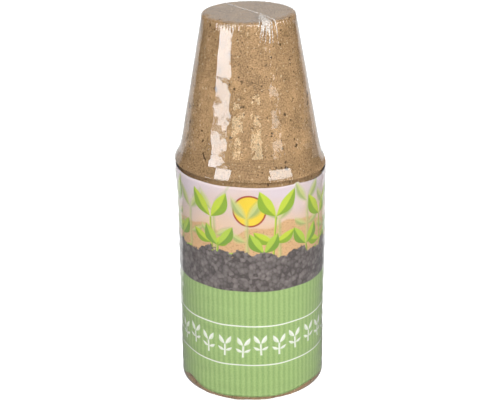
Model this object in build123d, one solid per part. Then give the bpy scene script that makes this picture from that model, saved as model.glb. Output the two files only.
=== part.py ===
from build123d import *
import math
import os

# A stack of round peat pots, nested mouth down, with a paper label round the rims
# and a clear shrink film over the whole stack.
# Millimetres, +Z up, origin on the axis in the plane that the lowest rim stands on.

# Pot, drawn mouth down: the rim is at its own height 0 and the closed end is on top
pot_count = 16
mouth_diameter = 80.0
base_diameter = 49.0
pot_height = 81.3
wall = 1.3  # measured level, from the outside to the inside of the wall
base_thickness = 2.0
rim_flare = 0.9  # how far the rim stands out past the straight wall
rim_band = 2.0  # height of the upright band at the rim
flare_height = 12.0  # where the wall starts to curve out to the rim band
rim_edge_radius = 0.3
base_edge_radius = 1.6
inner_corner_radius = 2.5
nest_gap = 0.25  # measured level, between one pot's wall and the next

# Label, one strip whose ends lap at the back
label_thickness = 0.18
label_gap = 0.12  # between the rims and the label
label_lap = 12.0  # how far the outer end lies over the inner end
label_lap_gap = 0.05  # glue line between the two ends
label_step = 8.0  # length in which the strip climbs onto its own end
label_lap_angle = 84.0  # where the lap starts, in degrees from +X
label_under_rim = 2.6  # from the top pot's rim down to the label's upper edge
label_bottom = 1.6

# Film, a shrunk bag that is open below
film_thickness = 0.12
film_gap = 0.12
film_bridge = 8.0  # from the flare up to where the film leaves the straight wall
film_bottom = 1.0
weld_width = 0.8  # the bead of the weld across the top, half of it proud
weld_inset = 2.0  # from the top's edge to the ends of the weld
weld_angle = -52.0  # the way that the weld runs, in degrees from +X

# Worked out from the sizes above
mouth_radius = mouth_diameter / 2
base_radius = base_diameter / 2
wall_mouth_radius = mouth_radius - rim_flare  # the straight wall, run on down to the rim
wall_slope = (wall_mouth_radius - base_radius) / pot_height
nest_pitch = (wall + nest_gap) / wall_slope
top_pot_rim = (pot_count - 1) * nest_pitch
stack_height = top_pot_rim + pot_height
label_inner_radius = mouth_radius + label_gap
label_lap_radius = label_inner_radius + label_thickness + label_lap_gap
label_outer_radius = label_lap_radius + label_thickness
label_top = top_pot_rim - label_under_rim


def wall_radius(height):
    """Outside radius of a pot's straight wall at a height above its rim."""
    return wall_mouth_radius - wall_slope * height


def at_corner(profile, x, y):
    """The corner of a flat profile that is nearest to a point."""
    return profile.vertices().sort_by_distance((x, y))[0]


def make_pot():
    """One moulded pot: a tapered cup whose wall curves out to an upright rim with a flat edge."""
    inner_base = pot_height - base_thickness
    rim_outer = (mouth_radius, 0)
    rim_inner = (mouth_radius - wall, 0)
    band_outer = (mouth_radius, rim_band)
    band_inner = (mouth_radius - wall, rim_band)
    flare_outer = (wall_radius(flare_height), flare_height)
    flare_inner = (wall_radius(flare_height) - wall, flare_height)
    base_outer = (base_radius, pot_height)
    base_inner = (wall_radius(inner_base) - wall, inner_base)
    down_the_wall = (wall_slope, -1)
    profile = make_face(
        [
            Line((0, inner_base), (0, pot_height)),
            Line((0, pot_height), base_outer),
            Line(base_outer, flare_outer),
            TangentArc(flare_outer, band_outer, tangent=down_the_wall),
            Line(band_outer, rim_outer),
            Line(rim_outer, rim_inner),
            Line(rim_inner, band_inner),
            TangentArc(flare_inner, band_inner, tangent=down_the_wall),
            Line(flare_inner, base_inner),
            Line(base_inner, (0, inner_base)),
        ]
    )
    profile = fillet(at_corner(profile, *base_outer), base_edge_radius)
    profile = fillet(at_corner(profile, *base_inner), inner_corner_radius)
    profile = fillet(at_corner(profile, *rim_outer), rim_edge_radius)
    profile = fillet(at_corner(profile, *rim_inner), rim_edge_radius)
    return revolve(Plane.XZ * profile, Axis.Z)


def on_circle(radius, angle):
    """A point of the label's plan, at an angle in degrees from where the lap starts."""
    turn = math.radians(label_lap_angle + angle)
    return (radius * math.cos(turn), radius * math.sin(turn))


def plan_arc(radius_from, angle_from, radius_to, angle_to):
    """An arc of the label's plan, which may climb from one radius to another."""
    middle = on_circle((radius_from + radius_to) / 2, (angle_from + angle_to) / 2)
    return ThreePointArc(on_circle(radius_from, angle_from), middle, on_circle(radius_to, angle_to))


def make_label():
    """The paper strip, one turn round the rims and then over its own end."""
    step_angle = math.degrees(label_step / label_lap_radius)
    lap_angle = math.degrees(label_lap / label_lap_radius)
    climb = 360 - step_angle
    end = 360 + lap_angle
    low_in, low_out = label_inner_radius, label_inner_radius + label_thickness
    high_in, high_out = label_lap_radius, label_outer_radius
    plan = make_face(
        [
            plan_arc(low_in, 0, low_in, climb),
            plan_arc(low_in, climb, high_in, 360),
            plan_arc(high_in, 360, high_in, end),
            Line(on_circle(high_in, end), on_circle(high_out, end)),
            plan_arc(high_out, 360, high_out, end),
            plan_arc(low_out, climb, high_out, 360),
            plan_arc(low_out, 0, low_out, climb),
            Line(on_circle(low_out, 0), on_circle(low_in, 0)),
        ]
    )
    return Pos(0, 0, label_bottom) * extrude(plan, label_top - label_bottom)


def film_envelope(standoff, bottom):
    """What lies inside a film that stands off the stack by a distance."""
    top = stack_height + standoff
    bridge_top = flare_height + film_bridge
    edge = (base_radius + standoff, top)
    leaves_wall = (wall_radius(bridge_top) + standoff, top_pot_rim + bridge_top)
    over_rim = (mouth_radius + standoff, top_pot_rim + rim_band)
    over_label = (label_outer_radius + standoff, label_top)
    hem = (label_outer_radius + standoff, bottom)
    outline = [(0, bottom), (0, top), edge, leaves_wall, over_rim, over_label, hem]
    half = make_face(Polyline(*outline, close=True))
    half = fillet(at_corner(half, *edge), base_edge_radius + standoff)
    return revolve(Plane.XZ * half, Axis.Z)


def make_film():
    """The shrunk bag: snug on the top pot, taut from its wall to its rim, straight over the label."""
    outside = film_gap + film_thickness
    bag = film_envelope(outside, film_bottom) - film_envelope(film_gap, film_bottom - film_thickness)
    weld_length = 2 * (base_radius - weld_inset)
    along_weld = Pos(0, 0, stack_height + outside) * Rot(0, 0, weld_angle) * Rot(0, 90, 0)
    bead = along_weld * Cylinder(weld_width / 2, weld_length)
    return bag + (bead - film_envelope(outside - film_thickness / 2, film_bottom))


def main():
    os.makedirs("parts", exist_ok=True)
    pot = make_pot()
    for index in range(pot_count):
        export_step(Pos(0, 0, index * nest_pitch) * pot, f"parts/pot_{index + 1:02d}.step")
    export_step(make_label(), "parts/label.step")
    export_step(make_film(), "parts/film.step")
    print(f"nest pitch {nest_pitch:.3f}, stack height {stack_height:.2f}, label top {label_top:.2f}")


main()
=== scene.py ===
"""Looks of a pack of nested peat pots: pressed peat, a printed paper label and a clear shrink film."""

import logging
import math
from collections.abc import Callable, Sequence
from dataclasses import dataclass, field
from enum import Enum
from functools import partial

import bmesh
import bpy
from mathutils import Matrix, Vector, noise


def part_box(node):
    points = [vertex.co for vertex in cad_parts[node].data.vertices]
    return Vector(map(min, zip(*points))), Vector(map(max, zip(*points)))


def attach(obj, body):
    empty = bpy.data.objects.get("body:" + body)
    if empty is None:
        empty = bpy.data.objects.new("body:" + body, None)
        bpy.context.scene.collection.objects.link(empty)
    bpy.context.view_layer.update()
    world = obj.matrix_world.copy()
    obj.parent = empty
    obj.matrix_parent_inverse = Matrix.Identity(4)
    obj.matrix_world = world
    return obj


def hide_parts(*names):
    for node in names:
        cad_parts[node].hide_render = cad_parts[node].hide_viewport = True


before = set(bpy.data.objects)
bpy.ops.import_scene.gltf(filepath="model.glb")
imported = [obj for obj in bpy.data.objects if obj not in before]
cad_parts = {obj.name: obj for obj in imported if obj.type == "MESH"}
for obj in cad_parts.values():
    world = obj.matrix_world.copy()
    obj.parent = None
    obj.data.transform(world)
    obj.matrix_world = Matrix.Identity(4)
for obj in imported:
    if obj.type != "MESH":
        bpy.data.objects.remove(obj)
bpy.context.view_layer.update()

LOG = logging.getLogger("peat_pots")
MM = 0.001

Socket = bpy.types.NodeSocket
Adder = Callable[..., Socket]
Material = bpy.types.Material
Mesh = bmesh.types.BMesh
Pair = tuple[float, float]
Corner = tuple[float, float, float]
Inks = tuple[str, str]


class Slot(Enum):
    """The record's material slots."""

    PEAT = "peat"
    LABEL = "label"
    FILM = "film"


def linear(colour: str) -> tuple[float, float, float, float]:
    """Turns an sRGB hex colour to linear light.

    Args:
        colour: six hex digits after a hash sign.

    Returns:
        Red, green, blue and an alpha of 1.
    """
    shares = [int(colour[place:place + 2], 16) / 255 for place in (1, 3, 5)]
    bent = [s / 12.92 if s <= 0.04045 else ((s + 0.055) / 1.055) ** 2.4 for s in shares]
    return (bent[0], bent[1], bent[2], 1.0)


def per_metre(size_mm: float) -> float:
    """The scale of a texture whose features are this many millimetres wide."""
    return 1.0 / (size_mm * MM)


def add(tree: bpy.types.NodeTree, kind: str, *inputs: object, out: str = "", **settings: object) -> Socket:
    """Adds a node with its settings and links. A Mix node mixes colours where no other type is set.

    Args:
        tree: the node tree that gets it.
        kind: the node's type without the words ShaderNode, and its operation after a colon.
        inputs: values, hex colours or output sockets, in the order of the inputs in use, or one dict by name.
        out: the name of the output that is wanted, or nothing for the first in use.
        settings: the node's own properties.

    Returns:
        The wanted output socket, or the node's first input where it has no output.
    """
    kind, _, operation = kind.partition(":")
    node = tree.nodes.new("ShaderNode" + kind)
    if operation:
        node.operation = operation
    if kind == "Mix":
        node.data_type = "RGBA"
    for name, value in settings.items():
        setattr(node, name, value)
    in_use = [socket for socket in node.inputs if socket.enabled]
    pairs = list(zip(in_use, inputs))
    if inputs and isinstance(inputs[0], dict):
        pairs = [(next(s for s in in_use if s.name == name), value) for name, value in inputs[0].items()]
    for socket, value in pairs:
        if isinstance(value, Socket):
            tree.links.new(value, socket)
        else:
            socket.default_value = linear(value) if isinstance(value, str) else value
    if not node.outputs:
        return node.inputs[0]
    return next(s for s in node.outputs if s.enabled and out in ("", s.name))


def new_material(name: str) -> tuple[Material, Adder]:
    """Makes a material with an empty node tree.

    Args:
        name: the material's name.

    Returns:
        The material, and what adds a node to its tree.
    """
    material = bpy.data.materials.new(name)
    material.use_nodes = True
    material.node_tree.nodes.clear()
    return material, partial(add, material.node_tree)


def smooth_step(low: float, high: float, value: float) -> float:
    """A share from 0 at low to 1 at high, with soft ends."""
    share = min(max((value - low) / (high - low), 0.0), 1.0)
    return share * share * (3.0 - 2.0 * share)


def hump(angle: float, middle: float, reach: float) -> float:
    """A share that is 1 at a middle and falls off within a reach, both in degrees round the stack."""
    away = math.degrees(math.remainder(angle - math.radians(middle), math.tau)) / reach
    return math.exp(-away * away)


def rounded(corners: Sequence[Corner], steps: int = 4) -> list[Vector]:
    """Points of an outline in the XZ plane whose corners are rounded.

    Args:
        corners: distance from the axis, height and corner radius of each point.
        steps: straight pieces in each rounded corner.

    Returns:
        The outline's points, in order.
    """
    places = [Vector((x, 0.0, z)) for x, z, _ in corners]
    points: list[Vector] = []
    for index, (_, _, radius) in enumerate(corners):
        corner = places[index]
        if radius == 0.0:
            points.append(corner)
            continue
        before = (places[index - 1] - corner).normalized()
        after = (places[index + 1] - corner).normalized()
        half = before.angle(after) / 2
        centre = corner + (before + after).normalized() * (radius / math.sin(half))
        start = corner + before * (radius / math.tan(half)) - centre
        end = corner + after * (radius / math.tan(half)) - centre
        arms = [start.lerp(end, step / steps) for step in range(steps + 1)]
        points += [centre + arm.normalized() * radius for arm in arms]
    return points


def spun(points: Sequence[Vector], row: float, segments: int) -> Mesh:
    """The wall that an outline makes as it goes once round the Z axis.

    Args:
        points: the outline, in the XZ plane.
        row: the longest row of faces along it.
        segments: faces round the axis.

    Returns:
        A mesh whose faces point outwards.
    """
    mesh = bmesh.new()
    ring = [mesh.verts.new(point) for point in points]
    for edge in [mesh.edges.new(pair) for pair in zip(ring, ring[1:])]:
        cuts = int(edge.calc_length() / row)
        if cuts:
            bmesh.ops.subdivide_edges(mesh, edges=[edge], cuts=cuts)
    bmesh.ops.spin(
        mesh, geom=mesh.verts[:] + mesh.edges[:], cent=(0, 0, 0), axis=(0, 0, 1),
        angle=math.tau, steps=segments, use_merge=True,
    )
    bmesh.ops.remove_doubles(mesh, verts=mesh.verts, dist=0.001 * MM)
    bmesh.ops.recalc_face_normals(mesh, faces=mesh.faces)
    mesh.normal_update()
    return mesh


def dress(name: str, mesh: Mesh, finishes: Sequence[Material], node: str) -> None:
    """Makes a smooth object that stands for a CAD node and moves with its body.

    Args:
        name: the piece's name.
        mesh: its shape, which is used up.
        finishes: its materials, in the order of the faces' material numbers.
        node: the CAD node that it stands for, which has the name of its body.
    """
    data = bpy.data.meshes.new(name)
    mesh.to_mesh(data)
    mesh.free()
    for finish in finishes:
        data.materials.append(finish)
    data.shade_smooth()
    piece = bpy.data.objects.new(name, data)
    bpy.context.scene.collection.objects.link(piece)
    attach(piece, node)
    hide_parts(node)
    LOG.info("%s: %d faces, for %s", name, len(data.polygons), node)


@dataclass(frozen=True)
class Fleck:
    """One kind of fleck: the largest radius is a share of the spacing, and some places stay empty."""

    colour: str
    spacing_mm: float
    radius: float
    empty: float
    cover: float
    soft: float = 0.15


def scattered(node: Adder, under: Socket, place: Socket, fleck: Fleck) -> Socket:
    """Scatters flecks over a colour.

    Args:
        node: adds a node to the material's tree.
        under: the colour below.
        place: the coordinates.
        fleck: the kind of fleck.

    Returns:
        The colour with the flecks.
    """
    near = node("TexVoronoi", place, per_metre(fleck.spacing_mm))
    chance = node("SeparateColor", near.node.outputs["Color"], out="Red")
    size = node("MapRange", chance, fleck.empty, 1.0, 0.0, fleck.radius)
    inside = node("Math:SUBTRACT", size, near)
    blur = fleck.soft * fleck.radius
    edge = node("MapRange", inside, -blur, blur, 0.0, fleck.cover)
    some = node("Math:GREATER_THAN", chance, fleck.empty)
    factor = node("Math:MULTIPLY", edge, some)
    return node("Mix", factor, under, fleck.colour)


@dataclass(frozen=True)
class PressedPeat:
    """Peat and wood fibre, pressed wet in a mould and dried."""

    peat: Inks = ("#806646", "#C9A376")
    # Painted shade towards the rim: its darker brown and how much of it is mixed in
    rim_shade: str = "#6E5539"
    rim_shade_share: float = 0.2
    patch_mm: float = 9.0
    grain_mm: float = 0.62
    grain_weight: float = 2.4
    mottle: Pair = (1.2, 2.2)
    ragged_mm: float = 1.1
    flecks: tuple[Fleck, ...] = (
        Fleck("#E2CBA4", 1.7, 0.32, 0.4, 0.6),
        Fleck("#3B2A1D", 1.2, 0.28, 0.4, 0.8),
        Fleck("#3B2A1D", 2.4, 0.26, 0.45, 0.9),
    )
    bend_mm: float = 3.0
    bend_by_mm: float = 5.0
    chips: Fleck = Fleck("#3B2A1D", 7.0, 0.19, 0.4, 0.9)
    fibre_mm: float = 2.6
    grain_relief: float = 0.5
    relief: float = 0.8
    relief_mm: float = 0.2
    roughness: float = 0.92
    gloss: float = 0.25

    def material(self) -> Material:
        """Makes the finish, on Object coordinates.

        Returns:
            The material.
        """
        # Gives a matt, mottled brown without highlights, broken up by dark bark and pale straw, and darkened
        # by painted shade towards each pot's rim.
        # Peat dust is too fine to show, so the grain is drawn about as coarse as a pixel of the render.
        material, node = new_material("pressed_peat")
        place = node("TexCoord", out="Object")
        patches = node("TexNoise", place, per_metre(self.patch_mm), 3.0)
        grain = node("TexNoise", place, per_metre(self.grain_mm), 1.0, 0.6)
        mottle = node("Math:MULTIPLY_ADD", grain, self.grain_weight, patches)
        share = node("MapRange", mottle, *self.mottle)
        colour = node("Mix", share, *self.peat)
        # Painted shade: the colour is mixed towards a darker brown, most at each pot's rim
        rim_shade = node("Attribute", out="Fac", attribute_name="rim")
        rim_shade = node("Math:MULTIPLY", rim_shade, self.rim_shade_share)
        colour = node("Mix", rim_shade, colour, self.rim_shade)
        shift = node("TexNoise", place, per_metre(self.ragged_mm), 2.0, out="Color")
        ragged = node("VectorMath:MULTIPLY_ADD", shift, [self.ragged_mm * MM] * 3, place)
        for fleck in self.flecks:
            colour = scattered(node, colour, ragged, fleck)
        shift = node("TexNoise", place, per_metre(self.bend_mm), 1.0, out="Color")
        bent = node("VectorMath:MULTIPLY_ADD", shift, [self.bend_by_mm * MM] * 3, ragged)
        colour = scattered(node, colour, bent, self.chips)
        lumps = node("TexNoise", place, per_metre(self.fibre_mm), 4.0)
        relief = node("Math:MULTIPLY_ADD", grain, self.grain_relief, lumps)
        normal = node("Bump", {"Height": relief, "Strength": self.relief, "Distance": self.relief_mm * MM})
        matt = {"Roughness": self.roughness, "Specular IOR Level": self.gloss}
        surface = node("BsdfPrincipled", {"Base Color": colour, "Normal": normal, **matt})
        node("OutputMaterial", surface)
        return material


@dataclass(frozen=True)
class SproutRow:
    """One printed row of seedlings, each in a cell of its own; lengths in millimetres on the flat label."""

    spacing: float
    shift: float
    foot: float
    stem: float
    leaf: float
    half_width: float
    light: str
    dark: str
    blur: float = 0.2
    lean: float = 0.14
    stem_half: float = 0.55
    droop: float = 0.35
    trim: float = 0.15
    vein: float = 0.25
    tiers: tuple[tuple[float, float, float], ...] = ((0.45, 0.75, 62.0), (1.0, 1.0, 34.0))


@dataclass(frozen=True)
class FlatLabel:
    """The label before it is wrapped: what adds a node to its print, and the places on it in millimetres."""

    node: Adder
    place: Socket
    across: Socket
    up: Socket


def sprouts(flat: FlatLabel, under: Socket, row: SproutRow) -> Socket:
    """Prints a row of seedlings: a stem with tiers of two leaves each.

    Args:
        flat: the flat label.
        under: the colour below.
        row: the seedlings' sizes and colours.

    Returns:
        The colour with the seedlings.
    """
    node = flat.node
    cells = node("Math:MULTIPLY_ADD", flat.across, 1 / row.spacing, row.shift / row.spacing)
    number = node("Math:FLOOR", cells)
    chance = node("TexWhiteNoise", number, out="Color", noise_dimensions="1D")
    tilt = node("SeparateColor", chance, out="Red")
    tall = tilt.node.outputs["Green"]
    share = node("Math:FRACT", cells)
    aside = node("Math:MULTIPLY_ADD", share, row.spacing, -row.spacing / 2)
    foot = node("Math:MULTIPLY_ADD", tall, row.stem / 2, row.foot - row.stem / 4)
    rise = node("Math:SUBTRACT", flat.up, foot)
    slant = node("Math:MULTIPLY_ADD", tilt, row.lean, -row.lean / 2)
    aside = node("Math:MULTIPLY_ADD", rise, slant, aside)
    reach = node("Math:ABSOLUTE", aside)
    stem = node("Math:SUBTRACT", row.stem_half, reach)
    left = node("Math:SUBTRACT", row.stem, rise)
    inside = node("Math:MINIMUM", stem, left)
    inside = node("Math:MINIMUM", inside, rise)
    shade = node("Math:GREATER_THAN", aside, 0.0)
    for level, size, angle in row.tiers:
        turn = math.radians(angle)
        above = node("Math:SUBTRACT", rise, row.stem * level)
        along = node("Math:MULTIPLY", above, math.cos(turn))
        along = node("Math:MULTIPLY_ADD", reach, math.sin(turn), along)
        beside = node("Math:MULTIPLY", above, -math.sin(turn))
        beside = node("Math:MULTIPLY_ADD", reach, math.cos(turn), beside)
        part = node("MapRange", along, 0.0, row.leaf * size, 0.0, math.pi)
        arch = node("Math:SINE", part)
        droop = node("Math:MULTIPLY_ADD", arch, -row.droop * row.half_width, beside)
        off = node("Math:ABSOLUTE", droop)
        wide = node("Math:MULTIPLY_ADD", arch, row.half_width * size, -row.trim)
        leaf = node("Math:SUBTRACT", wide, off)
        half = node("MapRange", droop, -row.vein, row.vein)
        over = node("Math:GREATER_THAN", leaf, 0.0)
        shade = node("Mix", over, shade, half, data_type="FLOAT")
        inside = node("Math:MAXIMUM", inside, leaf)
    mask = node("MapRange", inside, -row.blur, row.blur)
    ink = node("Mix", shade, row.light, row.dark)
    return node("Mix", mask, under, ink)


@dataclass(frozen=True)
class PrintedPaper:
    """Coated paper, offset printed in flat inks; lengths in millimetres on the flat label."""

    length: float
    height: float
    stripe_inks: Inks = ("#8DAE65", "#B3CC86")
    stripe: float = 3.1
    stripe_top: float = 65.0
    stripe_wander: float = 5.0
    stripe_mix: Pair = (0.6, 4.4)
    fibre: float = 0.8
    fibre_weight: float = 5.0
    line: str = "#F3F5EC"
    line_half: float = 0.35
    line_blur: float = 0.15
    line_heights: tuple[float, ...] = (20.0, 44.0)
    soil_top: float = 87.0
    soil_inks: Inks = ("#544C4A", "#8F8582")
    soil_mix: Pair = (-0.4, 0.9)
    soil_wander: float = 19.0
    soil_swing: float = 30.0
    soil_blur: Pair = (-0.3, 0.3)
    crumb: float = 2.2
    crumb_shade: float = 0.9
    hill_top: float = 102.0
    hill_inks: Inks = ("#DDB384", "#B98A58")
    hill_length: float = 34.0
    hill_swing: float = 34.0
    hill_blur: Pair = (-0.6, 0.6)
    speck: float = 0.9
    speck_mix: Pair = (0.52, 0.72)
    sky_inks: Inks = ("#E7C39C", "#DCCDD2")
    sky_over_hill: Pair = (16.0, 46.0)
    cloud: float = 26.0
    cloud_swing: float = 46.0
    sun: str = "#F0D23A"
    sun_rim: str = "#A8442C"
    sun_middle: Pair = (129.0, 112.0)
    sun_radius: float = 9.0
    sun_line: float = 0.9
    blur: float = 0.2
    roughness: float = 0.5
    uneven_roughness: float = 0.1
    uneven: float = 2.5
    gloss: float = 0.3
    rows: tuple[SproutRow, ...] = (
        SproutRow(17.7, 5.0, 86.0, 24.0, 15.0, 2.6, "#C9CE86", "#A9B870", blur=1.2),
        SproutRow(33.2, 8.0, 78.0, 27.0, 18.0, 4.0, "#C3D43C", "#8FB02E"),
        SproutRow(26.5, 9.0, 74.0, 15.0, 14.0, 3.4, "#B4CE48", "#7FA437"),
    )
    marks: SproutRow = SproutRow(10.2, 3.0, 26.0, 7.0, 6.5, 1.3, "#F3F5EC", "#E4EAD6")

    def material(self) -> Material:
        """Makes the print, on the label's own UV map.

        Returns:
            The material.
        """
        # Gives clean flat colours with a faint sheen: green stripes below, and a frieze of seedlings above.
        material, node = new_material("printed_paper")
        shares = node("UVMap", uv_map="flat")
        place = node("VectorMath:MULTIPLY", shares, (self.length, self.height, 0.0))
        across = node("SeparateXYZ", place, out="X")
        flat = FlatLabel(node, place, across, up=across.node.outputs["Y"])
        colour = self.backdrop(flat)
        for row in self.rows:
            colour = sprouts(flat, colour, row)
        colour = self.soil(flat, colour)
        colour = self.stripes(flat, colour)
        colour = sprouts(flat, colour, self.marks)
        sheen = node("TexNoise", place, 1 / self.uneven, 3.0)
        least, most = self.roughness - self.uneven_roughness, self.roughness + self.uneven_roughness
        rough = node("MapRange", sheen, 0.0, 1.0, least, most)
        paper = {"Base Color": colour, "Roughness": rough, "Specular IOR Level": self.gloss}
        node("OutputMaterial", node("BsdfPrincipled", paper))
        return material

    def backdrop(self, flat: FlatLabel) -> Socket:
        """Prints the sky, a plain sun and a speckled hill.

        Args:
            flat: the flat label.

        Returns:
            The colour.
        """
        node = flat.node
        clouds = node("TexNoise", flat.place, 1 / self.cloud, 2.0)
        lifted = node("Math:MULTIPLY_ADD", clouds, self.cloud_swing, flat.up)
        share = node("MapRange", lifted, *(self.hill_top + over for over in self.sky_over_hill))
        colour = node("Mix", share, *self.sky_inks)
        away = node("VectorMath:DISTANCE", flat.place, (*self.sun_middle, 0.0))
        for radius, ink in ((self.sun_radius, self.sun_rim), (self.sun_radius - self.sun_line, self.sun)):
            disc = node("MapRange", away, radius + self.blur, radius - self.blur)
            colour = node("Mix", disc, colour, ink)
        swell = node("TexNoise", flat.across, 1 / self.hill_length, 1.0, noise_dimensions="1D")
        foot = self.hill_top - self.hill_swing / 2
        height = node("Math:MULTIPLY_ADD", swell, self.hill_swing, foot)
        below = node("Math:SUBTRACT", height, flat.up)
        mask = node("MapRange", below, *self.hill_blur)
        specks = node("TexNoise", flat.place, 1 / self.speck, 3.0)
        spotted = node("MapRange", specks, *self.speck_mix)
        hill = node("Mix", spotted, *self.hill_inks)
        return node("Mix", mask, colour, hill)

    def soil(self, flat: FlatLabel, under: Socket) -> Socket:
        """Prints the crumbly soil that the seedlings stand in.

        Args:
            flat: the flat label.
            under: the colour below.

        Returns:
            The colour with the soil.
        """
        node = flat.node
        lumps = node("TexVoronoi", flat.place, 1 / self.crumb)
        tone = node("SeparateColor", lumps.node.outputs["Color"], out="Red")
        lit = node("Math:MULTIPLY_ADD", lumps, -self.crumb_shade, tone)
        share = node("MapRange", lit, *self.soil_mix)
        colour = node("Mix", share, *self.soil_inks)
        wander = node("TexNoise", flat.place, 1 / self.soil_wander, 5.0, 0.65)
        foot = self.soil_top - self.soil_swing / 2
        edge = node("Math:MULTIPLY_ADD", wander, self.soil_swing, foot)
        below = node("Math:SUBTRACT", edge, flat.up)
        mask = node("MapRange", below, *self.soil_blur)
        return node("Mix", mask, under, colour)

    def stripes(self, flat: FlatLabel, under: Socket) -> Socket:
        """Prints the upright green stripes of the lower part and the white lines across them.

        Args:
            flat: the flat label.
            under: the colour below.

        Returns:
            The colour with the stripes.
        """
        node = flat.node
        wander = node("TexNoise", flat.place, 1 / self.stripe_wander, 3.0)
        turned = node("Math:MULTIPLY_ADD", flat.across, math.tau / self.stripe, wander)
        swing = node("Math:SINE", turned)
        fibres = node("TexNoise", flat.place, 1 / self.fibre, 3.0)
        uneven = node("Math:MULTIPLY_ADD", fibres, self.fibre_weight, swing)
        share = node("MapRange", uneven, *self.stripe_mix)
        colour = node("Mix", share, *self.stripe_inks)
        for height in self.line_heights:
            off = node("Math:SUBTRACT", flat.up, height)
            off = node("Math:ABSOLUTE", off)
            thin = node("MapRange", off, self.line_half + self.line_blur, self.line_half - self.line_blur)
            colour = node("Mix", thin, colour, self.line)
        below = node("Math:SUBTRACT", self.stripe_top, flat.up)
        mask = node("MapRange", below, -self.blur, self.blur)
        return node("Mix", mask, under, colour)


@dataclass(frozen=True)
class BarePaper:
    """The label's uncoated back and cut edges."""

    white: str = "#F2EFEA"
    roughness: float = 0.8
    fibre_mm: float = 0.8
    relief: float = 0.3
    relief_mm: float = 0.03

    def material(self) -> Material:
        """Makes the finish, on Object coordinates.

        Returns:
            The material.
        """
        # Gives a plain matt white. Paper fibres are too fine to show, so these are drawn coarser.
        material, node = new_material("bare_paper")
        place = node("TexCoord", out="Object")
        fibres = node("TexNoise", place, per_metre(self.fibre_mm), 4.0)
        normal = node("Bump", {"Height": fibres, "Strength": self.relief, "Distance": self.relief_mm * MM})
        paper = {"Base Color": self.white, "Roughness": self.roughness, "Normal": normal}
        node("OutputMaterial", node("BsdfPrincipled", paper))
        return material


@dataclass(frozen=True)
class ClearFilm:
    """Shrunk polyolefin film: clear, with two mirroring faces, and heights measured up the stack."""

    ior: float = 1.5
    roughness: float = 0.05
    stuck_mm: float = 8.0
    stuck_from: Pair = (0.67, 0.70)
    stuck_cover: float = 0.85
    edge_on: Pair = (0.45, 0.65)
    dimple_mm: float = 4.5
    dimple_depth_mm: float = 0.3
    dimple_draw: float = 0.6
    least_dimples: float = 0.4
    smooth_above: float = 193.0 * MM
    rough_below: float = 178.0 * MM
    taut_below: Pair = (138.5 * MM, 142.5 * MM)
    taut_share: float = 0.1
    uneven_touch: float = 0.15
    uneven_gloss: float = 0.8
    clinging_at: float = 128.5 * MM
    clinging: Pair = (2.0 * MM, 3.0 * MM)
    clinging_gloss: float = 0.12

    def material(self) -> Material:
        """Makes the finish, on Object coordinates.

        Returns:
            The material.
        """
        # Gives bright, broken highlights over what lies below, and duller places where the film sticks to it.
        material, node = new_material("clear_film")
        place = node("TexCoord", out="Object")
        height = node("SeparateXYZ", place, out="Z")
        lower = node("MapRange", height, self.smooth_above, self.rough_below)
        upper = node("MapRange", height, *self.taut_below, self.taut_share)
        uneven = node("Math:MULTIPLY", lower, upper)
        drawn = node("VectorMath:MULTIPLY", place, (1.0, 1.0, self.dimple_draw))
        dimples = node("TexNoise", drawn, per_metre(self.dimple_mm), 1.5)
        strength = node("MapRange", uneven, 0.0, 1.0, self.least_dimples)
        depth = self.dimple_depth_mm * MM
        normal = node("Bump", {"Height": dimples, "Strength": strength, "Distance": depth})
        touch = node("TexNoise", place, per_metre(self.stuck_mm), 3.0, 0.55)
        touch = node("Math:MULTIPLY_ADD", uneven, self.uneven_touch, touch)
        flat_on = node("LayerWeight", out="Facing")
        dulled = node("MapRange", flat_on, *self.edge_on, 1.0 - self.stuck_cover, 1.0)
        loose = node("MapRange", uneven, 0.0, 1.0, 1.0, self.uneven_gloss)
        free = node("MapRange", touch, *self.stuck_from, loose, dulled)
        mirrored = node("Fresnel", self.ior, normal)
        front = node("Math:SUBTRACT", 1.0, node("NewGeometry", out="Backfacing"))
        both = node("Math:ADD", mirrored, 1.0)
        both = node("Math:DIVIDE", mirrored, both)
        share = node("Math:MULTIPLY", both, 2.0)
        off = node("Math:SUBTRACT", height, self.clinging_at)
        off = node("Math:ABSOLUTE", off)
        clear_of = node("MapRange", off, *self.clinging, self.clinging_gloss)
        for factor in (front, free, clear_of):
            share = node("Math:MULTIPLY", share, factor)
        gloss = node("BsdfAnisotropic", {"Roughness": self.roughness, "Normal": normal})
        surface = node("MixShader", share, node("BsdfTransparent"), gloss)
        node("OutputMaterial", surface)
        return material


@dataclass(frozen=True)
class GatheredFilm:
    """The same film where it is welded or bunched into several layers."""

    white: str = "#F7F0E8"
    roughness: float = 0.18
    haze: Pair = (0.25, 0.8)
    fold_mm: float = 0.9
    fold_mix: Pair = (0.38, 0.68)
    relief: float = 1.0
    relief_mm: float = 0.25

    def material(self) -> Material:
        """Makes the finish, on Object coordinates.

        Returns:
            The material.
        """
        # Gives a hazy white that still lets some of the peat through, with small glints on its folds.
        material, node = new_material("gathered_film")
        place = node("TexCoord", out="Object")
        folds = node("TexNoise", place, per_metre(self.fold_mm), 2.0)
        share = node("MapRange", folds, *self.fold_mix, *self.haze)
        normal = node("Bump", {"Height": folds, "Strength": self.relief, "Distance": self.relief_mm * MM})
        white = {"Base Color": self.white, "Roughness": self.roughness, "Normal": normal}
        milky = node("BsdfPrincipled", white)
        surface = node("MixShader", share, node("BsdfTransparent"), milky)
        node("OutputMaterial", surface)
        return material


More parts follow.
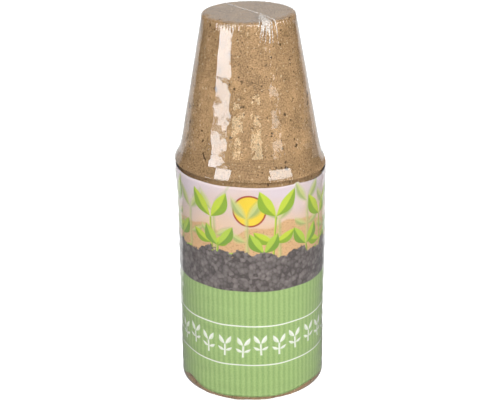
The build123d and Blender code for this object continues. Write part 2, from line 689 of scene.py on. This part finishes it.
@dataclass(frozen=True)
class PotProfile:
    """Half section of one pot that stands mouth down, with its rim at height 0."""

    mouth_radius: float
    height: float
    base_radius: float = 24.5 * MM
    wall: float = 1.3 * MM
    base_thickness: float = 2.0 * MM
    rim_flare: float = 0.9 * MM
    rim_band: float = 2.0 * MM
    flare_height: float = 12.0 * MM
    flare_steps: int = 6
    rim_edge: float = 0.3 * MM
    base_edge: float = 1.6 * MM
    inner_corner: float = 2.5 * MM
    hang_sides: float = 1.2 * MM
    hang_lean: float = 1.5 * MM
    hang_above: float = 14.0 * MM
    hang_below: float = 8.0 * MM

    def wall_radius(self, height: float) -> float:
        """Outside radius of the straight wall at a height above the rim."""
        straight = self.mouth_radius - self.rim_flare
        return straight - (straight - self.base_radius) * height / self.height

    def radius(self, height: float) -> float:
        """Outside radius with the flare, which curves out from the wall to the rim band."""
        share = max((self.flare_height - height) / (self.flare_height - self.rim_band), 0.0)
        return self.wall_radius(height) + (self.mouth_radius - self.wall_radius(self.rim_band)) * share ** 2

    def hang(self, side: float, height: float) -> float:
        """How far the top pot's uneven rim, and what lies on it, hangs below an even one.

        Args:
            side: distance from the middle plane, to the right.
            height: height above the even rim.

        Returns:
            The drop, most at the right and least at the left.
        """
        share = side / self.mouth_radius
        reach = self.hang_above if height > 0.0 else self.hang_below
        near = 1.0 - smooth_step(0.0, reach, abs(height))
        return (self.hang_sides * share * share + self.hang_lean * share) * near

    def flare(self, inward: float) -> list[Corner]:
        """The flare's points from the wall down to the rim band.

        Args:
            inward: distance from the outside of the wall.

        Returns:
            Corners with no rounding.
        """
        drop = (self.flare_height - self.rim_band) / self.flare_steps
        heights = [self.flare_height - drop * step for step in range(self.flare_steps + 1)]
        return [(self.radius(height) - inward, height, 0.0) for height in heights]

    def outline(self) -> list[Vector]:
        """Draws the closed half section.

        Returns:
            Its points, from the middle of the closed end over the rim to the inside.
        """
        inner_height = self.height - self.base_thickness
        return rounded([
            (0.0, self.height, 0.0),
            (self.base_radius, self.height, self.base_edge),
            *self.flare(0.0),
            (self.mouth_radius, 0.0, self.rim_edge),
            (self.mouth_radius - self.wall, 0.0, self.rim_edge),
            *reversed(self.flare(self.wall)),
            (self.wall_radius(inner_height) - self.wall, inner_height, self.inner_corner),
            (0.0, inner_height, 0.0),
        ])


@dataclass
class Sleeve:
    """What the label and the film share: the round of rims that they are drawn onto."""

    rim_radius: float
    pitch: float
    top_rim: float
    rim_middle: float = 1.0 * MM
    dip: float = 0.4 * MM
    mean_dip: float = 0.55
    dent_size: float = 16.0 * MM
    standing_off: float = 0.9 * MM
    right_from: Pair = (30.0 * MM, 85.0 * MM)
    left_from: Pair = (108.0 * MM, 124.0 * MM)
    tight_over_rim: float = 8.0 * MM

    def looseness(self, angle: float, height: float) -> float:
        """How far the wrap stands off the rims at the two sides, where it isn't drawn tight.

        Args:
            angle: the place round the stack, in radians from +X.
            height: the place up the stack.

        Returns:
            The distance, which is 0 at the front, at the back and low down.
        """
        side = math.cos(angle)
        starts = self.right_from if side > 0.0 else self.left_from
        off = smooth_step(*starts, height)
        off *= 1.0 - smooth_step(self.top_rim, self.top_rim + self.tight_over_rim, height)
        return self.standing_off * side * side * off

    def dent(self, angle: float, height: float) -> float:
        """How far the wrap sinks between two rims.

        Args:
            angle: the place round the stack, in radians from +X.
            height: the place up the stack.

        Returns:
            The depth, which is 0 on the rims.
        """
        between = math.sin(math.pi * (height - self.rim_middle) / self.pitch) ** 2
        around = Vector((math.cos(angle), math.sin(angle), 0.0)) * self.rim_radius
        uneven = noise.noise((around + Vector((0.0, 0.0, height))) / self.dent_size)
        return self.dip * between * (self.mean_dip + (1.0 - self.mean_dip) * uneven)


@dataclass
class PotStack:
    """The nested pots, each with its own lumps and its own uneven rim."""

    profile: PotProfile
    sleeve: Sleeve
    rims: list[float]
    finish: PressedPeat = field(default_factory=PressedPeat)
    row: float = 1.7 * MM
    segments: int = 180
    seed_step: tuple[float, float, float] = (3.7, 1.9, 5.3)
    lump_size: float = 7.0 * MM
    pit_size: float = 2.6 * MM
    lump_depth: float = 0.12 * MM
    pit_depth: float = 0.06 * MM
    rim_rise: float = 0.7 * MM
    rim_wave: float = 8.0 * MM
    rim_nick: float = 0.4 * MM
    nick_size: float = 2.4 * MM
    rim_reach: float = 4.0 * MM
    # Height above the rim over which the painted shade fades out
    rim_shade_reach: float = 20.0 * MM
    top_rim_spread: float = 0.3 * MM
    covered_rim_inset: float = 0.4 * MM
    spread_reach: float = 6.0 * MM

    def build(self) -> None:
        """Builds and dresses every pot, from the lowest to the top one."""
        material = self.finish.material()
        even = spun(self.profile.outline(), self.row, self.segments)
        for index, rim in enumerate(self.rims):
            mesh = even.copy()
            self.press(mesh, index, rim)
            dress(f"peat_pot_{index + 1:02d}", mesh, [material], pot_node(index))
        even.free()

    def press(self, mesh: Mesh, index: int, rim: float) -> None:
        """Gives an even pot its lumps and its rim, and puts it in its place.

        Args:
            mesh: the even pot, with its rim at height 0.
            index: the pot's place in the stack, which also sets its lumps.
            rim: height of its rim.
        """
        seed = Vector(self.seed_step) * (index + 1)
        on_top = index == len(self.rims) - 1
        # Covered rims are drawn in a little, so that the label's dents stay clear of them as it slides
        spread = self.top_rim_spread if on_top else -self.covered_rim_inset if index else 0.0
        # Share of painted shade for the peat's material, 1 at the rim and 0 above its reach
        rim_shade = mesh.verts.layers.float.new("rim")
        moved = []
        for vert in mesh.verts:
            vert[rim_shade] = 1.0 - smooth_step(0.0, self.rim_shade_reach, vert.co.z)
            lumps = noise.noise(vert.co / self.lump_size + seed)
            pits = noise.noise(vert.co / self.pit_size - seed)
            depth = self.lump_depth * (0.5 + 0.5 * lumps) + self.pit_depth * (0.5 + 0.5 * pits)
            around = Vector((vert.co.x, vert.co.y, 0.0))
            wave = self.rim_rise * (0.5 + 0.5 * noise.noise(around / self.rim_wave + seed))
            wave += self.rim_nick * max(noise.noise(around / self.nick_size + seed), 0.0)
            rise = wave * (1.0 - smooth_step(0.0, self.rim_reach, vert.co.z))
            wider = spread
            if on_top:
                rise -= self.profile.hang(vert.co.x, vert.co.z)
                wider += self.sleeve.looseness(math.atan2(vert.co.y, vert.co.x), rim)
            wider *= 1.0 - smooth_step(0.0, self.spread_reach, vert.co.z)
            place = vert.co + around * (wider / self.profile.mouth_radius)
            moved.append(place - vert.normal * depth + Vector((0.0, 0.0, rim + rise)))
        for vert, place in zip(mesh.verts, moved):
            vert.co = place


@dataclass
class PaperLabel:
    """One strip of printed paper, once round the rims and then over its own end at the back."""

    sleeve: Sleeve
    top: float
    bottom: float
    back_finish: BarePaper = field(default_factory=BarePaper)
    gap: float = 0.06 * MM
    thickness: float = 0.16 * MM
    lap_rise: float = 0.2 * MM
    lap_start: float = math.radians(84.0)
    lap: float = math.radians(17.0)
    climb: float = math.radians(11.0)
    top_slant: float = 1.2 * MM
    lower_edge: float = 0.6 * MM
    curls: tuple[tuple[float, float, float], ...] = ((-150.0, 12.0, 4.0 * MM), (-38.0, 14.0, 1.6 * MM))
    curl_power: int = 8
    edge_wave: float = 0.5 * MM
    edge_wave_size: float = 15.0 * MM
    sag_at: float = -24.0
    sag_reach: float = 16.0
    sag: float = 1.4 * MM
    sag_power: int = 12
    nick_at: float = math.radians(-52.5)
    nick_width: float = 1.6 * MM
    nick_rise: float = 1.5 * MM
    nick_power: int = 40
    columns: int = 190
    rows: int = 88

    def build(self) -> None:
        """Builds and dresses the label."""
        mesh = bmesh.new()
        bmesh.ops.create_grid(mesh, x_segments=self.columns, y_segments=self.rows, size=0.5)
        flat = mesh.loops.layers.uv.new("flat")
        for face in mesh.faces:
            for loop in face.loops:
                loop[flat].uv = (loop.vert.co.x + 0.5, loop.vert.co.y + 0.5)
        for vert in mesh.verts:
            vert.co = self.wrapped(vert.co.x + 0.5, vert.co.y + 0.5)
        mesh.normal_update()
        outside = set(mesh.faces)
        bmesh.ops.solidify(mesh, geom=list(outside), thickness=self.thickness)
        for face in mesh.faces:
            face.material_index = 0 if face in outside else 1
        length = (math.tau + self.lap) * self.sleeve.rim_radius
        printed = PrintedPaper(length=length / MM, height=(self.top - self.bottom) / MM)
        finishes = [printed.material(), self.back_finish.material()]
        dress("paper_label", mesh, finishes, "label")

    def wrapped(self, along: float, up: float) -> Vector:
        """Where a point of the flat strip lies on the stack.

        Args:
            along: share of the strip's length, from its inner end.
            up: share of its height.

        Returns:
            The point on the outside of the paper.
        """
        turn = along * (math.tau + self.lap)
        angle = self.lap_start + turn
        way = Vector((math.cos(angle), math.sin(angle), 0.0))
        wave = noise.noise(way * (self.sleeve.rim_radius / self.edge_wave_size))
        bottom = self.bottom + self.lower_edge + self.edge_wave * wave
        top = self.top - self.top_slant * way.x + self.edge_wave * wave
        height = bottom + (top - bottom) * up
        torn = abs(math.remainder(angle - self.nick_at, math.tau)) * self.sleeve.rim_radius / self.nick_width
        height += self.nick_rise * max(1.0 - torn, 0.0) * up ** self.nick_power
        height -= self.sag * hump(angle, self.sag_at, self.sag_reach) * up ** self.sag_power
        for middle, reach, lift in self.curls:
            height += lift * hump(angle, middle, reach) * (1.0 - up) ** self.curl_power
        radius = self.sleeve.rim_radius + self.gap + self.thickness - self.sleeve.dent(angle, height)
        radius += self.sleeve.looseness(angle, height)
        radius += self.lap_rise * smooth_step(math.tau - self.climb, math.tau, turn)
        return way * radius + Vector((0.0, 0.0, height))


@dataclass(frozen=True)
class Fold:
    """One fold of the bunched film: over the edge of the top at one angle, and down the wall to another."""

    edge: float
    end: float
    drop: float
    height: float


@dataclass
class ShrinkFilm:
    """The clear bag, shrunk onto the top pot, taut from its wall to its rim and tight over the label."""

    profile: PotProfile
    sleeve: Sleeve
    top_rim: float
    hem: float
    finish: ClearFilm = field(default_factory=ClearFilm)
    gathered_finish: GatheredFilm = field(default_factory=GatheredFilm)
    standoff: float = 0.28 * MM
    over_label: float = 0.42 * MM
    lap_rise: float = 0.2 * MM
    lap_angle: float = math.radians(92.0)
    lap_reach: Pair = (0.14, 0.34)
    bridge: float = 12.0 * MM
    bridge_round: float = 12.0 * MM
    # Distance past the bag's side, height above the top rim and rounding of three corners
    flare: Corner = (-1.75 * MM, 6.5 * MM, 4.0 * MM)
    over_rim: Corner = (0.4 * MM, 0.9 * MM, 0.8 * MM)
    under_rim: Corner = (0.0, -2.6 * MM, 0.0)
    thickness: float = 0.05 * MM
    row: float = 2.0 * MM
    segments: int = 200
    fine_edge: float = 0.08
    fine_fold: float = 0.002 * MM
    swell: float = 0.14 * MM
    swell_size: float = 7.0 * MM
    swell_draw: float = 0.6
    calm_share: float = 0.45
    calm_over_rim: Pair = (62.0 * MM, 28.0 * MM)
    pleat: float = 0.7 * MM
    pleat_size: float = 0.9 * MM
    pleat_drop: float = 3.2 * MM
    pleat_inward: float = 5.0 * MM
    pleat_seed: float = 7.7
    back_pleats: float = 0.35
    bunch: Vector = field(default_factory=lambda: Vector((5.5 * MM, -4.5 * MM)))
    bunch_share: float = 0.35
    top_depth: float = 0.8 * MM
    fold_width: float = 0.5 * MM
    milky_fold: float = 0.2 * MM
    crumple_size: float = 2.0 * MM
    crumple_mean: float = 0.8
    crumple_swing: float = 0.5
    folds: tuple[Fold, ...] = (
        Fold(-77.5, -82.0, 6.0 * MM, 0.7 * MM),
        Fold(-73.7, -80.0, 12.0 * MM, 1.0 * MM),
        Fold(-71.0, -76.5, 10.0 * MM, 1.2 * MM),
        Fold(-68.8, -73.0, 15.0 * MM, 1.0 * MM),
        Fold(-67.3, -67.2, 9.0 * MM, 1.2 * MM),
        Fold(-65.0, -69.0, 26.0 * MM, 0.7 * MM),
        Fold(-62.5, -62.7, 18.0 * MM, 0.7 * MM),
        Fold(-57.5, -54.5, 14.0 * MM, 0.9 * MM),
    )
    weld_offset: float = 1.3 * MM
    weld_angle: float = math.radians(-52.0)
    weld_radius: float = 0.3 * MM
    weld_taper: float = 0.8
    weld_inset: float = 1.5 * MM
    weld_back: float = 0.36
    weld_length: float = 1.25
    weld_sides: int = 10

    def build(self) -> None:
        """Builds and dresses the film."""
        mesh = spun(self.outline(), self.row, self.segments)
        self.refine(mesh)
        mesh.normal_update()
        moved = [self.drawn_on(vert.co, vert.normal) for vert in mesh.verts]
        bunched = {vert for vert in mesh.verts if self.fold_height(vert.co) > self.milky_fold}
        for vert, place in zip(mesh.verts, moved):
            vert.co = place
        mesh.normal_update()
        for face in mesh.faces:
            face.material_index = int(all(vert in bunched for vert in face.verts))
        bmesh.ops.solidify(mesh, geom=mesh.faces[:], thickness=self.thickness)
        self.add_weld(mesh)
        finishes = [self.finish.material(), self.gathered_finish.material()]
        dress("shrink_film", mesh, finishes, "film")

    @property
    def top(self) -> float:
        """Height of the film over the top pot's closed end."""
        return self.top_rim + self.profile.height + self.standoff

    def outline(self) -> list[Vector]:
        """Draws the even bag's half section.

        Returns:
            Its points, from the middle of the top down to the hem.
        """
        pot = self.profile
        side = pot.mouth_radius + self.over_label
        corners = (self.flare, self.over_rim, self.under_rim)
        return rounded([
            (0.0, self.top, 0.0),
            (pot.base_radius + self.standoff, self.top, pot.base_edge + self.standoff),
            (pot.wall_radius(self.bridge) + self.standoff, self.top_rim + self.bridge, self.bridge_round),
            *((side + out, self.top_rim + up, bend) for out, up, bend in corners),
            (side, self.hem, 0.0),
        ])

    def refine(self, mesh: Mesh) -> None:
        """Divides the faces at the folds and at the edge of the top, which have the finest shapes.

        Args:
            mesh: the even bag.
        """
        fine = {
            vert for vert in mesh.verts
            if self.near_edge(vert.co) > self.fine_edge or self.fold_height(vert.co) > self.fine_fold
        }
        near = {face for face in mesh.faces if any(vert in fine for vert in face.verts)}
        edges = {edge for face in near for edge in face.edges}
        bmesh.ops.subdivide_edges(mesh, edges=list(edges), cuts=2, use_grid_fill=True)

    def near_edge(self, place: Vector) -> float:
        """How near a point is to the edge of the top.

        Args:
            place: the point on the even bag.

        Returns:
            A share from 0 to 1.
        """
        below = (self.top - place.z) / self.pleat_drop
        forward = max(-place.y / self.profile.base_radius, 0.0)
        reach = self.pleat_inward * (self.back_pleats + (1.0 - self.back_pleats) * forward)
        inward = max(self.profile.base_radius - place.xy.length, 0.0) / reach
        return math.exp(-below * below - inward * inward)

    def fold_height(self, place: Vector) -> float:
        """Height of the folds at a point of the even bag."""
        in_front = place.y <= 0.0 and place.z >= self.top_rim + self.bridge
        return max(self.rise(fold, place) for fold in self.folds) if in_front else 0.0

    def rise(self, fold: Fold, place: Vector) -> float:
        """Height of one fold at a point.

        Args:
            fold: the fold.
            place: the point on the even bag.

        Returns:
            The height above the even bag, most where the fold goes over the edge.
        """
        edge = math.radians(fold.edge)
        if place.z > self.top - self.top_depth:
            line = Vector((math.cos(edge), math.sin(edge))) * self.profile.base_radius - self.bunch
            share = min(max((place.xy - self.bunch).dot(line) / line.length_squared, 0.0), 1.0)
            away = (place.xy - self.bunch - line * share).length
            size = self.bunch_share + (1.0 - self.bunch_share) * share
        else:
            share = min((self.top - place.z) / fold.drop, 1.0)
            turn = edge + (math.radians(fold.end) - edge) * share
            away = abs(math.remainder(math.atan2(place.y, place.x) - turn, math.tau)) * place.xy.length
            size = 1.0 - share
        crest = math.exp(-((away / self.fold_width) ** 2))
        crumple = self.crumple_mean + self.crumple_swing * noise.noise(place / self.crumple_size)
        return fold.height * size * crest * crumple

    def drawn_on(self, place: Vector, normal: Vector) -> Vector:
        """Moves a point of the even bag to where the shrunk one lies.

        Args:
            place: the point on the even bag.
            normal: the bag's direction there.

        Returns:
            The point on the shrunk bag.
        """
        angle = math.atan2(place.y, place.x)
        outward = Vector((math.cos(angle), math.sin(angle), 0.0))
        above = place.z - self.top_rim
        hung = Vector((0.0, 0.0, self.profile.hang(place.x, above)))
        off = place + outward * self.sleeve.looseness(angle, place.z)
        if above < 0.0:
            lap = abs(math.remainder(angle - self.lap_angle, math.tau))
            rise = self.lap_rise * (1.0 - smooth_step(*self.lap_reach, lap))
            return off + outward * (rise - self.sleeve.dent(angle, place.z)) - hung
        loose = self.calm_share + (1.0 - self.calm_share) * smooth_step(*self.calm_over_rim, above)
        stretched = Vector((place.x, place.y, place.z * self.swell_draw)) / self.swell_size
        swell = self.swell * loose * noise.noise(stretched)
        seed = Vector((0.0, 0.0, self.pleat_seed))
        ruffle = noise.noise(outward * (self.profile.base_radius / self.pleat_size) + seed)
        pleat = self.pleat * self.near_edge(place) * max(ruffle, 0.0)
        return off + normal * (swell + pleat + self.fold_height(place)) - hung

    def add_weld(self, mesh: Mesh) -> None:
        """Adds the bead of the weld, which runs across the top to the bunched film.

        Args:
            mesh: the film, which gets the bead.
        """
        along = Vector((math.cos(self.weld_angle), math.sin(self.weld_angle), 0.0))
        aside = Vector((-along.y, along.x, 0.0)) * self.weld_offset
        reach = self.profile.base_radius - self.weld_inset
        turn = along.to_track_quat("Z", "Y").to_matrix().to_4x4()
        turn.translation = aside + Vector((0.0, 0.0, self.top)) - along * (self.weld_back * reach)
        made = bmesh.ops.create_cone(
            mesh, cap_ends=True, segments=self.weld_sides, radius1=self.weld_radius,
            radius2=self.weld_taper * self.weld_radius, depth=self.weld_length * reach, matrix=turn,
        )
        for face in {face for vert in made["verts"] for face in vert.link_faces}:
            face.material_index = 1


@dataclass(frozen=True)
class Softbox:
    """One rectangular lamp that faces the pack; angles in degrees, sizes in metres."""

    name: str
    azimuth: float
    elevation: float
    distance: float
    width: float
    height: float
    power: float
    lights: bool = True
    mirrors: bool = True
    tint: str = "#FFFFFF"

    def build(self, target: Vector) -> None:
        """Hangs the lamp, at azimuth degrees to the right of the camera's side.

        Args:
            target: the point that it faces.
        """
        turn, rise = math.radians(self.azimuth), math.radians(self.elevation)
        way = Vector((math.sin(turn) * math.cos(rise), -math.cos(turn) * math.cos(rise), math.sin(rise)))
        data = bpy.data.lights.new(self.name, "AREA")
        data.shape = "RECTANGLE"
        data.size, data.size_y = self.width, self.height
        data.energy = self.power
        data.color = linear(self.tint)[:3]
        lamp = bpy.data.objects.new(self.name, data)
        lamp.location = target + way * self.distance
        lamp.rotation_euler = (-way).to_track_quat("-Z", "Y").to_euler()
        lamp.visible_camera = False
        lamp.visible_diffuse = self.lights
        lamp.visible_glossy = self.mirrors
        bpy.context.scene.collection.objects.link(lamp)


@dataclass
class Studio:
    """White table and surroundings, soft lamps, and the camera at the photograph's place."""

    eye: Vector = field(default_factory=lambda: Vector((-0.000447, -0.70872, 0.39227)))
    pitch: float = math.radians(22.1265)
    roll: float = math.radians(-0.6613)
    focal_px: float = 1381.58
    frame_px: float = 500.0
    sensor_mm: float = 36.0
    target: Vector = field(default_factory=lambda: Vector((0.0, 0.0, 0.13)))
    room_white: str = "#FFFFFF"
    surroundings: float = 0.5
    mirrored_front: float = 0.21
    front_edge: Pair = (-0.2, -0.8)
    mirrored_backdrop: float = 0.63
    mirrored_sweep: float = 0.95
    mirrored_floor: float = 0.3
    backdrop: tuple[float, float, float] = (-0.05, 0.999, 0.0)
    backdrop_edge: Pair = (0.68, 0.71)
    floor_size: float = 2.0
    floor_white: str = "#E9E9E9"
    floor_glow: float = 0.7
    lamps: tuple[Softbox, ...] = (
        Softbox("left_softbox", -53.8, 2.5, 1.0, 0.55, 0.21, 3.4, lights=False, tint="#F4F8FF"),
        Softbox("left_upper", -41.6, 27.0, 1.0, 0.43, 0.60, 7.0, lights=False, tint="#F4F8FF"),
        Softbox("right_softbox", 48.0, 27.0, 1.0, 0.60, 0.60, 8.1, lights=False),
        Softbox("ceiling", 0.0, 90.0, 1.2, 1.3, 1.3, 7.0, lights=False),
        Softbox("left_strip", -22.0, -4.0, 1.0, 0.28, 0.24, 0.95, lights=False, tint="#FFF2CF"),
        Softbox("middle_strip", 12.0, -4.0, 1.0, 0.24, 0.24, 0.8, lights=False, tint="#FFF2CF"),
        Softbox("right_strip", 45.0, -3.0, 1.0, 0.26, 0.20, 0.5, lights=False),
        Softbox("front_light", 6.0, 36.0, 1.3, 0.8, 0.8, 12.0, mirrors=False),
        Softbox("left_light", -65.0, 20.0, 1.2, 0.6, 0.8, 1.3, mirrors=False),
        Softbox("right_light", 70.0, 25.0, 1.2, 0.6, 0.8, 2.5, mirrors=False),
        Softbox("back_light", 180.0, 12.0, 1.3, 0.6, 0.6, 6.0, mirrors=False),
    )

    def build(self) -> None:
        """Makes the camera, the lamps, the surroundings and the table."""
        self.add_camera()
        for lamp in self.lamps:
            lamp.build(self.target)
        self.add_surroundings()
        self.add_floor()
        bpy.context.scene.view_settings.view_transform = "Standard"

    def add_camera(self) -> None:
        """Sets up the camera that was fitted to the pack's outline."""
        data = bpy.data.cameras.new("camera")
        data.sensor_width = self.sensor_mm
        data.lens = self.focal_px / self.frame_px * self.sensor_mm
        camera = bpy.data.objects.new("camera", data)
        camera.location = self.eye
        aim = Matrix.Rotation(math.pi / 2 - self.pitch, 3, "X") @ Matrix.Rotation(self.roll, 3, "Z")
        camera.rotation_euler = aim.to_euler()
        bpy.context.scene.collection.objects.link(camera)
        bpy.context.scene.camera = camera

    def add_surroundings(self) -> None:
        """Puts plain white all round, with other strengths for what it shows, mirrors and lights."""
        world = bpy.data.worlds.new("white_room")
        world.use_nodes = True
        world.node_tree.nodes.clear()
        node = partial(add, world.node_tree)
        seen = node("LightPath", out="Is Camera Ray")
        mirrored = seen.node.outputs["Is Glossy Ray"]
        way = node("TexCoord", out="Generated")
        ahead = node("SeparateXYZ", way, out="Y")
        front = node("MapRange", ahead, *self.front_edge, 0.0, self.mirrored_front)
        behind = self.behind(node, way, 0.0, self.mirrored_backdrop)
        around = node("Math:ADD", front, behind)
        strength = node("MapRange", mirrored, 0.0, 1.0, self.surroundings, around)
        strength = node("Math:MAXIMUM", strength, seen)
        light = node("Background", self.room_white, strength)
        node("OutputWorld", light)
        bpy.context.scene.world = world

    def behind(self, node: Adder, way: Socket, beside: float, bright: float) -> Socket:
        """How bright the film mirrors the white backdrop behind the pack, and what is beside the backdrop."""
        turned = node("VectorMath:DOT_PRODUCT", way, self.backdrop)
        return node("MapRange", turned, *self.backdrop_edge, beside, bright)

    def add_floor(self) -> None:
        """Lays the white table."""
        # Gives a plain white that keeps the pack's shadow, and that the film mirrors as part of the room.
        material, node = new_material("white_table")
        matt = node("BsdfDiffuse", self.floor_white)
        seen = node("LightPath", out="Is Camera Ray")
        share = node("Math:MULTIPLY", seen, self.floor_glow)
        shown = node("AddShader", matt, node("Emission", {"Strength": share}))
        way = node("VectorMath:NORMALIZE", node("TexCoord", out="Object"))
        bright = self.behind(node, way, self.mirrored_floor, self.mirrored_sweep)
        mirrored = node("Emission", {"Strength": bright})
        surface = node("MixShader", seen.node.outputs["Is Glossy Ray"], shown, mirrored)
        node("OutputMaterial", surface)
        mesh = bmesh.new()
        bmesh.ops.create_grid(mesh, x_segments=1, y_segments=1, size=self.floor_size / 2)
        data = bpy.data.meshes.new("table")
        mesh.to_mesh(data)
        mesh.free()
        data.materials.append(material)
        table = bpy.data.objects.new("table", data)
        bpy.context.scene.collection.objects.link(table)


def pot_node(index: int) -> str:
    """The CAD node of a pot, counted from the lowest."""
    return f"pot_{index + 1:02d}"


def main() -> None:
    """Builds the pack and its studio."""
    logging.basicConfig(level=logging.INFO, format="%(name)s: %(message)s")
    count = sum(name.startswith("pot_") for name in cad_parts)
    rims = [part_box(pot_node(index))[0].z for index in range(count)]
    low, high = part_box(pot_node(0))
    profile = PotProfile(mouth_radius=high.x, height=high.z - low.z)
    sleeve = Sleeve(rim_radius=profile.mouth_radius, pitch=rims[1] - rims[0], top_rim=rims[-1])
    PotStack(profile, sleeve, rims).build()
    label_low, label_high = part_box("label")
    PaperLabel(sleeve, top=label_high.z, bottom=label_low.z).build()
    ShrinkFilm(profile, sleeve, top_rim=rims[-1], hem=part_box("film")[0].z).build()
    Studio().build()


if __name__ == "__main__":
    main()
